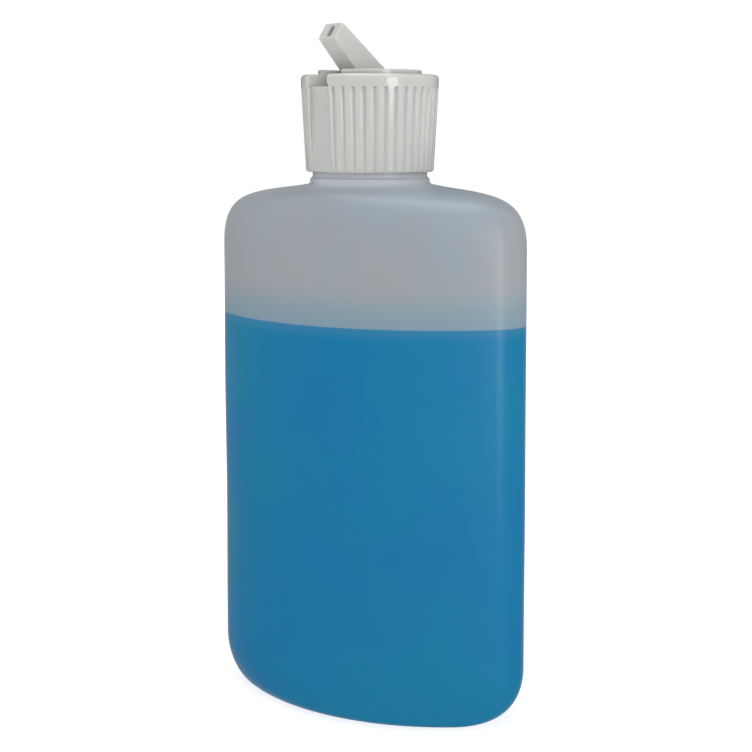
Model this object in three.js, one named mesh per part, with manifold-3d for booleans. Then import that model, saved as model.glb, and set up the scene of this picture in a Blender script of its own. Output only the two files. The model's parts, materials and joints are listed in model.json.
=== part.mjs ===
// Oval squeeze bottle, part filled with a blue liquid, closed by a ribbed screw cap whose square spout
// flips up out of a slot. Millimetres, +Z up. The origin is on the ground below the neck's axis.
// X runs along the bottle's width and Y along its depth, with the front broad face towards -Y.

import * as THREE from "three";
import { mergeVertices } from "three/addons/utils/BufferGeometryUtils.js";
import Module from "manifold-3d";

const wasm = await Module();
wasm.setup();

// ---------------------------------------------------------------- driving dimensions

// Gap kept between two separate pieces, how far a cutter reaches past a face, and how far a ridge
// is sunk in the wall it stands on.
const GAP = 0.3;
const REACH = 1;
const SUNK = 0.4;

// Body: an oval of two broad arcs and two end arcs, stated at BODY_REFERENCE_HEIGHT, narrowing upwards.
const HALF_WIDTH = 34.6;
const HALF_DEPTH = 18.2;
const END_RADIUS = 8.7;
const BODY_REFERENCE_HEIGHT = 60;
const DRAFT_PER_MM = 0.014 / 60;
const WALL = 1.2;
const FLOOR = 2;

// Heel: the rounded edge between the wall and the base, wider at the ends than along the broad faces.
const HEEL_END_INSET = 8.6;
const HEEL_END_HEIGHT = 11.3;
const HEEL_FACE_INSET = 5.6;
const HEEL_FACE_HEIGHT = 8.4;

// Base: a flat rest ring around a shallow pushed-up middle.
const REST_RING_WIDTH = 2.6;
const PUSH_UP = 0.8;
const PUSH_UP_SLOPE_WIDTH = 2;

// Shoulder: one cubic curve from the wall to the neck, seen along the width and along the depth.
const SHOULDER_START = 97.9;
const SHOULDER_BULGE_HEIGHT = 109.8;
const SHOULDER_SLOPE_HEIGHT = 108.5;
const SHOULDER_SLOPE_WIDTH = 25.3;
const SHOULDER_SLOPE_DEPTH = 15.7;

// Neck, a 24 mm finish with a thread of one and a half turns.
const NECK_BASE = 110.6;
const NECK_TOP = 126.5;
const NECK_FOOT_RADIUS = 12.15;
const BEAD_RADIUS = 12.25;
const BEAD_TOP = 111.9;
const BEAD_EDGE = 0.5;
const COLLAR_RADIUS = 11.75;
const COLLAR_TOP = 113.6;
const COLLAR_FALL = 0.8;
const NECK_RADIUS = 10.75;
const BORE_RADIUS = 8.9;
const RIM_EDGE = 0.4;

// Thread: the bottle's ridge and the cap's ridge run half a pitch apart.
const PITCH = 3.175;
const THREAD_DEPTH = 1.1;
const THREAD_FOOT = 1.5;
const THREAD_CREST = 0.7;
const BOTTLE_THREAD_START = 118.9;
const BOTTLE_THREAD_TURNS = 1.5;
const CAP_THREAD_TURNS = 1.25;
const THREAD_FADE_TURNS = 0.08;
const THREAD_END_TURNS = 0.01;

// Liquid.
const LIQUID_TOP = 82.8;

// Cap: a tapered ribbed skirt, a plain band above it and a raised round land on top.
const CAP_BOTTOM = 113;
const SKIRT_BOTTOM_RADIUS = 13.05;
const SKIRT_TOP_RADIUS = 13.95;
const BAND_BOTTOM = 129.8;
const BAND_RADIUS = 14;
const BAND_TOP = 132.5;
const BAND_ROUNDING = 0.8;
const LAND_RADIUS = 10.5;
const LAND_TOP = 133.3;
const LAND_ROUNDING = 0.25;
const SKIRT_EDGE = 0.3;
const SKIRT_INNER_RADIUS = 12.15;
const SKIRT_LEAD_IN = 0.25;
const DECK_UNDERSIDE = 127.4;
const BOSS_RADIUS = 6;
const BOSS_BOTTOM = 125.9;
const OUTLET_RADIUS = 1.5;

// Ribs: narrow grooves at equal angles, deepest under the band, left out where the finger flat is.
const GROOVE_PLACES = 40;
const GROOVES_LEFT_OUT_BESIDE_SLOT = 1;
const GROOVE_BOTTOM_DEPTH = 0.3;
const GROOVE_TOP_DEPTH = 0.65;
const GROOVE_FLOOR_WIDTH = 0.2;
const GROOVE_FLARE = 1.1;

// Slot for the spout, turned away from the front, with a flat under its mouth for a fingertip.
const SLOT_TURN = THREE.MathUtils.degToRad(-21.5);
const SLOT_WIDTH = 6;
const SLOT_FLOOR_AT_MOUTH = 130.2;
const FINGER_FLAT_DISTANCE = 12.5;
const FINGER_FLAT_WIDTH = 6.5;

// Spout: a barrel that turns in the cap and a square arm that narrows to its tip.
const PIVOT_HEIGHT = 131.3;
const BARREL_RADIUS = 3;
const SPOUT_WIDTH = 5.4;
const SPOUT_BEVEL = 0.2;
const TIP_LOWER = new THREE.Vector2(13.6, -1.75);
const TIP_UPPER = new THREE.Vector2(14.2, 1.7);
const CHANNEL_WIDTH = 1.2;
const CHANNEL_HEIGHT = 2.6;
const TRUNNION_RADIUS = 1.2;
const TRUNNION_LENGTH = 1.2;
const SPOUT_RISE = THREE.MathUtils.degToRad(43.25);

// Liner: a soft ring between the neck's rim and the cap's deck.
const LINER_OUTER_RADIUS = 11.8;
const LINER_INNER_RADIUS = 6.6;
const LINER_GAP = 0.15;

// Fineness of the round shapes.
const OVAL_SIDES = 40;
const HEEL_STEPS = 6;
const SHOULDER_STEPS = 9;
const ROUND_SIDES = 40;
const CAP_SIDES = 80;
const THREAD_STEPS_PER_TURN = 32;

// ---------------------------------------------------------------- solids

// A closed three.js geometry as a manifold solid.
function solidFrom(geometry) {
  const positions = geometry.clone();
  positions.deleteAttribute("normal");
  positions.deleteAttribute("uv");
  const merged = mergeVertices(positions, 1e-4);
  return new wasm.Manifold(
    new wasm.Mesh({
      numProp: 3,
      vertProperties: new Float32Array(merged.attributes.position.array),
      triVerts: new Uint32Array(merged.index.array),
    }),
  );
}

// A manifold solid as a three.js geometry with flat faces.
function geometryFrom(solid) {
  const mesh = solid.getMesh();
  const geometry = new THREE.BufferGeometry();
  geometry.setAttribute("position", new THREE.BufferAttribute(mesh.vertProperties, 3));
  geometry.setIndex(new THREE.BufferAttribute(mesh.triVerts, 1));
  geometry.computeVertexNormals();
  return geometry;
}

// Skins a stack of rings that all have the same number of points, and closes both ends with fans.
// Each ring runs anticlockwise seen from the end of the stack.
function loft(rings) {
  const sides = rings[0].length;
  const points = rings.flat();
  const triangles = [];
  for (let ring = 0; ring + 1 < rings.length; ring++) {
    for (let side = 0; side < sides; side++) {
      const here = ring * sides + side;
      const next = ring * sides + ((side + 1) % sides);
      triangles.push(here, next, next + sides);
      triangles.push(here, next + sides, here + sides);
    }
  }
  for (const end of [0, rings.length - 1]) {
    const middle = new THREE.Vector3();
    rings[end].forEach((point) => middle.addScaledVector(point, 1 / sides));
    const hub = points.push(middle) - 1;
    for (let side = 0; side < sides; side++) {
      const here = end * sides + side;
      const next = end * sides + ((side + 1) % sides);
      triangles.push(...(end === 0 ? [next, here, hub] : [here, next, hub]));
    }
  }
  const geometry = new THREE.BufferGeometry().setFromPoints(points);
  geometry.setIndex(triangles);
  return solidFrom(geometry);
}

// A round solid about the Z axis, from a profile of [radius, height] points.
function turned(profile, sides) {
  const points = profile.map(([radius, height]) => new THREE.Vector2(radius, height));
  return solidFrom(new THREE.LatheGeometry(points, sides).rotateX(Math.PI / 2));
}

// A solid cylinder along the X axis.
function crossPin(radius, length) {
  return solidFrom(new THREE.CylinderGeometry(radius, radius, length, ROUND_SIDES).rotateZ(Math.PI / 2));
}

// A flat outline drawn in the plane of travel (outwards, upwards), spread evenly along X.
// After this the outline's first coordinate lies along -Y and its second along +Z.
function slab(shape, width, bevel = 0) {
  const geometry = new THREE.ExtrudeGeometry(shape, {
    depth: width - 2 * bevel,
    bevelEnabled: bevel > 0,
    bevelThickness: bevel,
    bevelSize: bevel,
    bevelOffset: -bevel,
    bevelSegments: 1,
    curveSegments: 12,
  });
  geometry.translate(0, 0, bevel - width / 2);
  geometry.applyMatrix4(
    new THREE.Matrix4().makeBasis(
      new THREE.Vector3(0, -1, 0),
      new THREE.Vector3(0, 0, 1),
      new THREE.Vector3(-1, 0, 0),
    ),
  );
  return solidFrom(geometry);
}

// ---------------------------------------------------------------- bottle

// A point of the oval whose outward normal makes the given angle with +X.
// Each quarter is a broad arc centred on the Y axis that runs smoothly into an end arc.
function ovalPoint({ width, depth, end }, angle, height) {
  const endCentre = width - end;
  const broadRadius = (endCentre ** 2 + depth ** 2 - end ** 2) / (2 * (depth - end));
  const change = Math.atan2(broadRadius - depth, endCentre);
  const across = Math.abs(Math.cos(angle));
  const up = Math.abs(Math.sin(angle));
  const onEnd = Math.atan2(up, across) < change;
  const x = onEnd ? endCentre + end * across : broadRadius * across;
  const y = onEnd ? end * up : depth - broadRadius + broadRadius * up;
  return new THREE.Vector3(Math.sign(Math.cos(angle)) * x, Math.sign(Math.sin(angle)) * y, height);
}

function ovalRing(size, height) {
  const ring = [];
  for (let side = 0; side < OVAL_SIDES; side++) {
    ring.push(ovalPoint(size, ((side + 0.5) * 2 * Math.PI) / OVAL_SIDES, height));
  }
  return ring;
}

// How far a rounded edge of the given inset and height still stands in from the wall at this level.
function heelInset(inset, edgeHeight, level) {
  if (level >= edgeHeight) return 0;
  return inset * (1 - Math.sqrt(1 - (1 - level / edgeHeight) ** 2));
}

// The body's oval at a level above its own floor, made smaller all round by an offset.
function bodySize(level, offset) {
  const scale = 1 - DRAFT_PER_MM * (level - BODY_REFERENCE_HEIGHT);
  return {
    width: HALF_WIDTH * scale - heelInset(HEEL_END_INSET, HEEL_END_HEIGHT, level) - offset,
    depth: HALF_DEPTH * scale - heelInset(HEEL_FACE_INSET, HEEL_FACE_HEIGHT, level) - offset,
    end: END_RADIUS - offset,
  };
}

// Rings from the floor up to a level on the straight wall.
function wallRings(floor, offset, top) {
  const rings = [];
  for (let step = HEEL_STEPS; step >= 0; step--) {
    const level = HEEL_END_HEIGHT * (1 - Math.sin((step * Math.PI) / 2 / HEEL_STEPS));
    rings.push(ovalRing(bodySize(level, offset), floor + level));
  }
  rings.push(ovalRing(bodySize(top - floor, offset), top));
  return rings;
}

// Rings of the shoulder above the wall, up to a round ring at the foot of the neck.
function shoulderRings(offset, floor, endRadius) {
  const wall = bodySize(SHOULDER_START - floor, offset);
  const bulge = SHOULDER_BULGE_HEIGHT - offset;
  const slope = SHOULDER_SLOPE_HEIGHT - offset;
  const foot = NECK_BASE - offset;
  const curve = new THREE.CubicBezierCurve3(
    new THREE.Vector3(wall.width, wall.depth, SHOULDER_START),
    new THREE.Vector3(wall.width, wall.depth, bulge),
    new THREE.Vector3(SHOULDER_SLOPE_WIDTH - offset, SHOULDER_SLOPE_DEPTH - offset, slope),
    new THREE.Vector3(endRadius, endRadius, foot),
  );
  const rings = [];
  for (let step = 1; step <= SHOULDER_STEPS; step++) {
    const at = curve.getPoint(step / SHOULDER_STEPS);
    rings.push(ovalRing({ width: at.x, depth: at.y, end: wall.end }, at.z));
  }
  return rings;
}

// A thread ridge whose foot is sunk in a wall at footRadius and whose crest stands at crestRadius.
// It is right-handed, starts on the +X axis and fades out at both ends.
function threadRidge(footRadius, crestRadius, startHeight, turns) {
  const inwards = Math.sign(footRadius - crestRadius);
  const sunk = footRadius + inwards * SUNK;
  const steps = Math.round(turns * THREAD_STEPS_PER_TURN);
  const rings = [];
  for (let step = 0; step <= steps; step++) {
    const turn = (turns * step) / steps;
    const fromEnd = Math.min(turn, turns - turn) + THREAD_END_TURNS;
    const fade = Math.min(1, fromEnd / THREAD_FADE_TURNS);
    const crest = footRadius + (crestRadius - footRadius) * fade;
    const height = startHeight + PITCH * turn;
    const section = [
      [sunk, -THREAD_FOOT / 2],
      [sunk, THREAD_FOOT / 2],
      [crest, THREAD_CREST / 2],
      [crest, -THREAD_CREST / 2],
    ];
    const angle = 2 * Math.PI * turn;
    const ring = section.map(([radius, rise]) => {
      return new THREE.Vector3(radius * Math.cos(angle), radius * Math.sin(angle), height + rise);
    });
    rings.push(inwards < 0 ? ring : ring.reverse());
  }
  return loft(rings);
}

function makeBottle() {
  const body = loft([...wallRings(0, 0, SHOULDER_START), ...shoulderRings(0, 0, NECK_FOOT_RADIUS)]);
  const neck = turned(
    [
      [0, NECK_BASE - REACH],
      [BEAD_RADIUS, NECK_BASE - REACH / 2],
      [BEAD_RADIUS, BEAD_TOP - BEAD_EDGE],
      [COLLAR_RADIUS, BEAD_TOP],
      [COLLAR_RADIUS, COLLAR_TOP],
      [NECK_RADIUS, COLLAR_TOP + COLLAR_FALL],
      [NECK_RADIUS, NECK_TOP - RIM_EDGE],
      [NECK_RADIUS - RIM_EDGE, NECK_TOP],
      [0, NECK_TOP],
    ],
    ROUND_SIDES,
  );
  const crest = NECK_RADIUS + THREAD_DEPTH;
  const thread = threadRidge(NECK_RADIUS, crest, BOTTLE_THREAD_START, BOTTLE_THREAD_TURNS);
  const bore = ovalRing({ width: BORE_RADIUS, depth: BORE_RADIUS, end: END_RADIUS - WALL }, NECK_TOP + REACH);
  const cavity = loft([
    ...wallRings(FLOOR, WALL, SHOULDER_START),
    ...shoulderRings(WALL, FLOOR, BORE_RADIUS),
    bore,
  ]);
  const edge = bodySize(0, REST_RING_WIDTH);
  const dish = bodySize(0, REST_RING_WIDTH + PUSH_UP_SLOPE_WIDTH);
  const pushUp = loft([ovalRing(edge, -REACH), ovalRing(edge, 0), ovalRing(dish, PUSH_UP)]);
  return body.add(neck).add(thread).subtract(cavity).subtract(pushUp);
}

function makeLiquid() {
  return loft(wallRings(FLOOR + GAP, WALL + GAP, LIQUID_TOP));
}

// ---------------------------------------------------------------- closure

// The cap before its slot, grooves and thread are made.
function capBlank() {
  const bandCurve = new THREE.Path();
  bandCurve.absarc(BAND_RADIUS - BAND_ROUNDING, BAND_TOP - BAND_ROUNDING, BAND_ROUNDING, 0, Math.PI / 2);
  const bandRounding = bandCurve.getPoints(3).map((point) => [point.x, point.y]);
  return turned(
    [
      [0, BOSS_BOTTOM],
      [BOSS_RADIUS, BOSS_BOTTOM],
      [BOSS_RADIUS, DECK_UNDERSIDE],
      [SKIRT_INNER_RADIUS, DECK_UNDERSIDE],
      [SKIRT_INNER_RADIUS, CAP_BOTTOM + 2 * SKIRT_LEAD_IN],
      [SKIRT_INNER_RADIUS + SKIRT_LEAD_IN, CAP_BOTTOM],
      [SKIRT_BOTTOM_RADIUS - SKIRT_EDGE, CAP_BOTTOM],
      [SKIRT_BOTTOM_RADIUS, CAP_BOTTOM + SKIRT_EDGE],
      [SKIRT_TOP_RADIUS, BAND_BOTTOM],
      [BAND_RADIUS, BAND_BOTTOM + BAND_RADIUS - SKIRT_TOP_RADIUS],
      ...bandRounding,
      [LAND_RADIUS, BAND_TOP],
      [LAND_RADIUS, LAND_TOP - LAND_ROUNDING],
      [LAND_RADIUS - LAND_ROUNDING, LAND_TOP],
      [0, LAND_TOP],
    ],
    CAP_SIDES,
  );
}

// One rib groove's cutter, along -Y: narrow at its floor, wide at its mouth, following the skirt's taper.
function grooveCutter() {
  const section = (skirtRadius, depth, height) => {
    const floor = -skirtRadius + depth;
    const mouth = -skirtRadius - REACH;
    const halfFloor = GROOVE_FLOOR_WIDTH / 2;
    const halfMouth = halfFloor + ((depth + REACH) * GROOVE_FLARE) / 2;
    return [
      new THREE.Vector3(-halfFloor, floor, height),
      new THREE.Vector3(-halfMouth, mouth, height),
      new THREE.Vector3(halfMouth, mouth, height),
      new THREE.Vector3(halfFloor, floor, height),
    ];
  };
  return loft([
    section(SKIRT_BOTTOM_RADIUS, GROOVE_BOTTOM_DEPTH, CAP_BOTTOM - SKIRT_EDGE),
    section(SKIRT_TOP_RADIUS, GROOVE_TOP_DEPTH, BAND_BOTTOM),
  ]);
}

function cutGrooves(cap) {
  const cutter = grooveCutter();
  let ribbed = cap;
  for (let place = 0; place < GROOVE_PLACES; place++) {
    const fromSlot = Math.min(place, GROOVE_PLACES - place);
    if (fromSlot <= GROOVES_LEFT_OUT_BESIDE_SLOT) continue;
    ribbed = ribbed.subtract(cutter.rotate([0, 0, (360 * place) / GROOVE_PLACES]));
  }
  return ribbed;
}

// The slot that the spout folds into: open at the top and at its mouth, with a floor that rises to the mouth.
function slotCutter() {
  const socketRadius = BARREL_RADIUS + GAP;
  const socketBottom = PIVOT_HEIGHT - socketRadius;
  const outside = BAND_RADIUS + REACH;
  const slope = (SLOT_FLOOR_AT_MOUTH - socketBottom) / BAND_RADIUS;
  const above = LAND_TOP + REACH;
  const side = new THREE.Shape([
    new THREE.Vector2(-socketRadius, PIVOT_HEIGHT),
    new THREE.Vector2(0, socketBottom),
    new THREE.Vector2(outside, socketBottom + slope * outside),
    new THREE.Vector2(outside, above),
    new THREE.Vector2(-socketRadius, above),
  ]);
  return slab(side, SLOT_WIDTH).add(crossPin(socketRadius, SLOT_WIDTH).translate([0, 0, PIVOT_HEIGHT]));
}

// The flat under the slot's mouth, the full height of the skirt.
function fingerFlatCutter() {
  const depth = BAND_RADIUS + REACH - FINGER_FLAT_DISTANCE;
  const height = SLOT_FLOOR_AT_MOUTH - CAP_BOTTOM + REACH;
  const box = new THREE.BoxGeometry(FINGER_FLAT_WIDTH, depth, height);
  return solidFrom(
    box.translate(0, -FINGER_FLAT_DISTANCE - depth / 2, SLOT_FLOOR_AT_MOUTH - height / 2),
  );
}

// The cap with its slot facing -Y.
function makeCap() {
  const trunnionSocket = crossPin(TRUNNION_RADIUS + GAP, SPOUT_WIDTH + 2 * (TRUNNION_LENGTH + GAP));
  const outlet = turned(
    [
      [0, BOSS_BOTTOM - REACH],
      [OUTLET_RADIUS, BOSS_BOTTOM - REACH],
      [OUTLET_RADIUS, PIVOT_HEIGHT],
      [0, PIVOT_HEIGHT],
    ],
    ROUND_SIDES / 2,
  );
  return cutGrooves(capBlank())
    .subtract(slotCutter())
    .subtract(fingerFlatCutter())
    .subtract(trunnionSocket.translate([0, 0, PIVOT_HEIGHT]))
    .subtract(outlet);
}

// The cap's thread follows the bottle's half a pitch below. It starts at the same angle as the bottle's,
// whichever way the slot faces.
function makeCapThread() {
  const crest = SKIRT_INNER_RADIUS - THREAD_DEPTH;
  return threadRidge(SKIRT_INNER_RADIUS, crest, BOTTLE_THREAD_START - PITCH / 2, CAP_THREAD_TURNS);
}

// The spout lying along -Y with its pivot at the origin.
function makeSpout() {
  const side = new THREE.Shape();
  const lowerTouch = tangentAngle(TIP_LOWER, -1);
  const upperTouch = tangentAngle(TIP_UPPER, 1);
  side.absarc(0, 0, BARREL_RADIUS, upperTouch, 2 * Math.PI + lowerTouch, false);
  side.lineTo(TIP_LOWER.x, TIP_LOWER.y);
  side.lineTo(TIP_UPPER.x, TIP_UPPER.y);
  side.closePath();
  const channelLength = TIP_UPPER.x + BARREL_RADIUS + 2 * REACH;
  const channel = new THREE.BoxGeometry(CHANNEL_WIDTH, channelLength, CHANNEL_HEIGHT);
  const channelMiddle = (TIP_UPPER.x - BARREL_RADIUS) / 2;
  return slab(side, SPOUT_WIDTH, SPOUT_BEVEL)
    .add(crossPin(TRUNNION_RADIUS, SPOUT_WIDTH + 2 * TRUNNION_LENGTH))
    .subtract(solidFrom(channel.translate(0, -channelMiddle, 0)));
}

// Where a straight line from a tip corner touches the barrel, on its upper (1) or lower (-1) side.
function tangentAngle(corner, upperOrLower) {
  return Math.atan2(corner.y, corner.x) + upperOrLower * Math.acos(BARREL_RADIUS / corner.length());
}

function makeLiner() {
  return turned(
    [
      [LINER_INNER_RADIUS, NECK_TOP + LINER_GAP],
      [LINER_OUTER_RADIUS, NECK_TOP + LINER_GAP],
      [LINER_OUTER_RADIUS, DECK_UNDERSIDE - LINER_GAP],
      [LINER_INNER_RADIUS, DECK_UNDERSIDE - LINER_GAP],
      [LINER_INNER_RADIUS, NECK_TOP + LINER_GAP],
    ],
    ROUND_SIDES,
  );
}

// ---------------------------------------------------------------- assembly

const naturalPlastic = new THREE.MeshStandardMaterial({
  color: "#b9c2ca",
  roughness: 0.45,
  metalness: 0,
  transparent: true,
  opacity: 0.5,
});
const whitePlastic = new THREE.MeshStandardMaterial({ color: "#d6d6d4", roughness: 0.32, metalness: 0 });
const foam = new THREE.MeshStandardMaterial({ color: "#e6e4dc", roughness: 0.85, metalness: 0 });
const blueLiquid = new THREE.MeshStandardMaterial({ color: "#1273a8", roughness: 0.1, metalness: 0 });

function piece(name, solid, material) {
  const mesh = new THREE.Mesh(geometryFrom(solid), material);
  mesh.name = name;
  return mesh;
}

const slotTurnDegrees = THREE.MathUtils.radToDeg(SLOT_TURN);
const capSolid = makeCap().rotate([0, 0, slotTurnDegrees]).add(makeCapThread());

const spout = piece("spout", makeSpout(), whitePlastic);
spout.rotation.x = -SPOUT_RISE;
const spoutSeat = new THREE.Group();
spoutSeat.position.z = PIVOT_HEIGHT;
spoutSeat.rotation.z = SLOT_TURN;
spoutSeat.add(spout);

const bottle = new THREE.Group();
bottle.add(piece("bottle", makeBottle(), naturalPlastic));
bottle.add(piece("liquid", makeLiquid(), blueLiquid));
bottle.add(piece("cap", capSolid, whitePlastic));
bottle.add(piece("cap_liner", makeLiner(), foam));
bottle.add(spoutSeat);

export default bottle;
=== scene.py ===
"""An oval squeeze bottle, part filled with a blue liquid, closed by a ribbed screw cap with a flip-up spout.

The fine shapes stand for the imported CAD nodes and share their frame: +Z up, the origin on the ground below
the neck's axis, the front broad face towards -Y. Shapes are worked out in millimetres and become metres
when a mesh is made.
"""

import json
import math

import bpy
import numpy as np
from mathutils import Matrix, Vector


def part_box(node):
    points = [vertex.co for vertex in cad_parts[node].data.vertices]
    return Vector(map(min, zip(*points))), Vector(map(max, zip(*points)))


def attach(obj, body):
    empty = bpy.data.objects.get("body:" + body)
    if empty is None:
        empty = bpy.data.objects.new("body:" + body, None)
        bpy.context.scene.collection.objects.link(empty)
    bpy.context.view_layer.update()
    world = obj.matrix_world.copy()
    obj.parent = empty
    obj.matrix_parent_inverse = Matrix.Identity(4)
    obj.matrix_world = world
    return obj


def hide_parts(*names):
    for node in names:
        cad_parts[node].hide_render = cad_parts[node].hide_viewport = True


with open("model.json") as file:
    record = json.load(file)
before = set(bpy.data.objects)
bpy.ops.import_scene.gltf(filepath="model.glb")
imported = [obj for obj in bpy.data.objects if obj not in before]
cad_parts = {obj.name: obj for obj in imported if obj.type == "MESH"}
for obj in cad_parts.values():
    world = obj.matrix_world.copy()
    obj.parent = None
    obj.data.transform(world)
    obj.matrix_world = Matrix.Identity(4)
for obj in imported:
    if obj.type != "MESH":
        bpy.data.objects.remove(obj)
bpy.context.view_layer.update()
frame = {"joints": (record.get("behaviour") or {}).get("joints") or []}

MM = 0.001
TINY = 1e-9


def box_mm(node):
    """Lowest and highest corner of a CAD node, in millimetres."""
    low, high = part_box(node)
    return np.array(low) / MM, np.array(high) / MM


def joint_named(name):
    return next(joint for joint in frame["joints"] if joint["name"] == name)


# ---------------------------------------------------------------- sizes, in millimetres

bottle_high = box_mm("bottle")[1]
liquid_high = box_mm("liquid")[1]
cap_low, cap_high = box_mm("cap")
liner_low, liner_high = box_mm("cap_liner")
spout_joint = joint_named("spout_flip")
spout_axis = np.array(spout_joint["axis"])

# Body: an oval of two broad arcs and two end arcs, stated at BODY_REFERENCE_HEIGHT, narrowing upwards.
HEEL_END_INSET = 8.6
HEEL_END_HEIGHT = 11.3
HEEL_FACE_INSET = 5.6
HEEL_FACE_HEIGHT = 8.4
HALF_WIDTH = 34.6
HALF_DEPTH = 18.2
END_RADIUS = 8.7
BODY_REFERENCE_HEIGHT = 60.0
DRAFT_PER_MM = 0.014 / 60
WALL = 1.2
FLOOR = 2.0
REST_RING_WIDTH = 2.6
PUSH_UP = 0.8
PUSH_UP_SLOPE_WIDTH = 2.0
SEAM_HEIGHT = 0.05
FACE_WAVE = 0.07
FACE_WAVE_LENGTHS = ((9.0, 17.0), (-23.0, 11.0))

# Shoulder: one cubic curve from the wall to the neck, seen along the width and along the depth.
NECK_TOP = bottle_high[2]
NECK_BASE = NECK_TOP - 15.9
SHOULDER_START = NECK_BASE - 12.7
SHOULDER_BULGE_HEIGHT = NECK_BASE - 0.8
SHOULDER_SLOPE_HEIGHT = NECK_BASE - 2.1
SHOULDER_SLOPE_WIDTH = 25.3
SHOULDER_SLOPE_DEPTH = 15.7

# Neck: a bead, a collar under the cap, and a threaded finish.
BEAD_RADIUS = 12.25
BEAD_FOOT_FILLET = 0.5
BEAD_TOP = NECK_BASE + 1.05
BEAD_ROUNDING = 0.45
COLLAR_RADIUS = 11.75
COLLAR_FOOT = BEAD_TOP + 0.35
COLLAR_TOP = NECK_BASE + 3.0
COLLAR_ROUNDING = 0.3
NECK_RADIUS = 10.75
NECK_FOOT = COLLAR_TOP + 0.8
NECK_FILLET = 0.4
BORE_RADIUS = 8.9
RIM_ROUNDING = 0.4
RIM_START = NECK_TOP - RIM_ROUNDING - 0.1
PITCH = 3.175
THREAD_DEPTH = 1.1
THREAD_FOOT = 1.5
THREAD_CREST = 0.7
THREAD_START = NECK_BASE + 8.3
BOTTLE_THREAD_TURNS = 1.5
CAP_THREAD_TURNS = 1.25
THREAD_FADE_TURNS = 0.08
THREAD_ROOT = 0.06

# Liquid: it wets the inner wall and climbs it a little at its edge.
LIQUID_TOP = liquid_high[2]
LIQUID_GAP = 0.12
MENISCUS_HEIGHT = 0.45
MENISCUS_WIDTH = 1.6

# Cap: a tapered ribbed skirt, a plain band above it and a raised round land on top.
CAP_BOTTOM = cap_low[2]
CAP_TOP = cap_high[2]
BAND_RADIUS = 14.0
BAND_BOTTOM = CAP_TOP - 3.5
BAND_TOP = CAP_TOP - 0.95
BAND_ROUNDING = 0.8
LAND_RADIUS = 10.5
LAND_ROUNDING = 0.22
LAND_FILLET = 0.08
SKIRT_BOTTOM_RADIUS = 13.05
SKIRT_TOP_RADIUS = 13.95
SKIRT_EDGE = 0.55
SKIRT_INNER_RADIUS = 12.15
SKIRT_LEAD_IN = 0.25
DECK_UNDERSIDE = CAP_TOP - 5.9
DECK_CORNER_ROUNDING = 0.4
BOSS_RADIUS = 6.0
BOSS_BOTTOM = CAP_TOP - 7.4
BOSS_ROUNDING = 0.3
BOSS_FILLET = 0.2
OUTLET_RADIUS = 1.5
CRISP_ROUNDING = 0.07

# Ribs: narrow grooves at equal angles, deepest under the band, left out where the finger flat is.
GROOVE_PLACES = 40
GROOVES_LEFT_OUT_BESIDE_SLOT = 1
GROOVE_BOTTOM_DEPTH = 0.25
GROOVE_TOP_DEPTH = 0.55
GROOVE_FLOOR_HALF_WIDTH = 0.1
GROOVE_HALF_FLARE = 0.55
GROOVE_FLOOR_ROUNDING = 0.1
RIB_ROUNDING = 0.45
RIB_ROUNDING_STARTS_BELOW_BAND = 0.2
RIB_ROUNDING_FADE = 0.6

# Slot for the spout, and the flat under its mouth for a fingertip.
SLOT_TURN = math.atan2(-spout_axis[1], -spout_axis[0])
SLOT_HALF_WIDTH = 3.0
SLOT_ROUNDING = 0.22
SLOT_FLOOR_AT_MOUTH = CAP_TOP - 3.1
FINGER_FLAT_DISTANCE = 12.5
FINGER_FLAT_HALF_WIDTH = 3.25
FINGER_FLAT_ROUNDING = 0.3

# Spout: a barrel that turns in the cap and a square arm that narrows to its tip.
PIVOT_HEIGHT = spout_joint["pos_m"][2] / MM
BARREL_RADIUS = 3.0
SOCKET_RADIUS = 3.3
SPOUT_HALF_WIDTH = 2.7
SPOUT_ROUNDING = 0.2
TIP_LOWER = np.array([13.65, -1.8])
TIP_UPPER = np.array([14.25, 1.75])
CHANNEL_HALF_WIDTH = 0.78
CHANNEL_HALF_HEIGHT = 1.3
CHANNEL_ROUNDING = 0.25
CHANNEL_EDGE = 0.12
TRUNNION_RADIUS = 1.2
TRUNNION_END = 3.9
TRUNNION_GAP = 0.3
TRUNNION_ROUNDING = 0.2
SPOUT_RISE = math.radians(43.25)

# Liner: a soft ring between the neck's rim and the cap's deck.
LINER_INNER_RADIUS = 6.6

# Fineness of the surfaces.
OVAL_SIDES = 256
SMALLEST_RING_SHARE = 0.02
SLOPE_STEPS = 10
MENISCUS_STEPS = 10
THREAD_STEP = 0.14
CAP_STEP = 0.17
CAP_EDGE_REACH = 1.0
SKIRT_STEP = 0.4
SPOUT_STEP = 0.12
FLAT_ANGLE = math.radians(0.25)

# Colours, as linear red, green and blue.
DRY_COOL = (0.315, 0.362, 0.405)
DRY_WARM = (0.338, 0.352, 0.366)
# A bluish glow painted on the dry wall near the liquid's line.
DRY_GLOW = (0.22, 0.32, 0.39)
# Paler neck: partly its thicker milky plastic, partly painted light against the shade under the cap.
DRY_THICK_AND_PAINTED_LIGHT = (0.54, 0.57, 0.595)
WET_BLUE = (0.0005, 0.182, 0.395)
WET_TEAL = (0.0005, 0.198, 0.372)
WHITE_COOL = (0.530, 0.528, 0.512)
WHITE_WARM = (0.538, 0.530, 0.504)
# Foam: the darker colour is painted shade for the cells' pits.
FOAM_PIT_SHADE = (0.62, 0.60, 0.55)
FOAM_LIGHT = (0.82, 0.81, 0.77)
LAMP_COOL = (0.965, 0.985, 1.0)
BACKDROP_WHITE = (1.0, 1.0, 1.0)
ROOM_GREY = (0.03, 0.03, 0.03)
ROOM_MIRRORED = (0.05, 0.05, 0.05)
FLOOR_SEEN = (0.4, 0.4, 0.4)
FLOOR_MIRRORED = (0.03, 0.03, 0.03)
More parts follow.
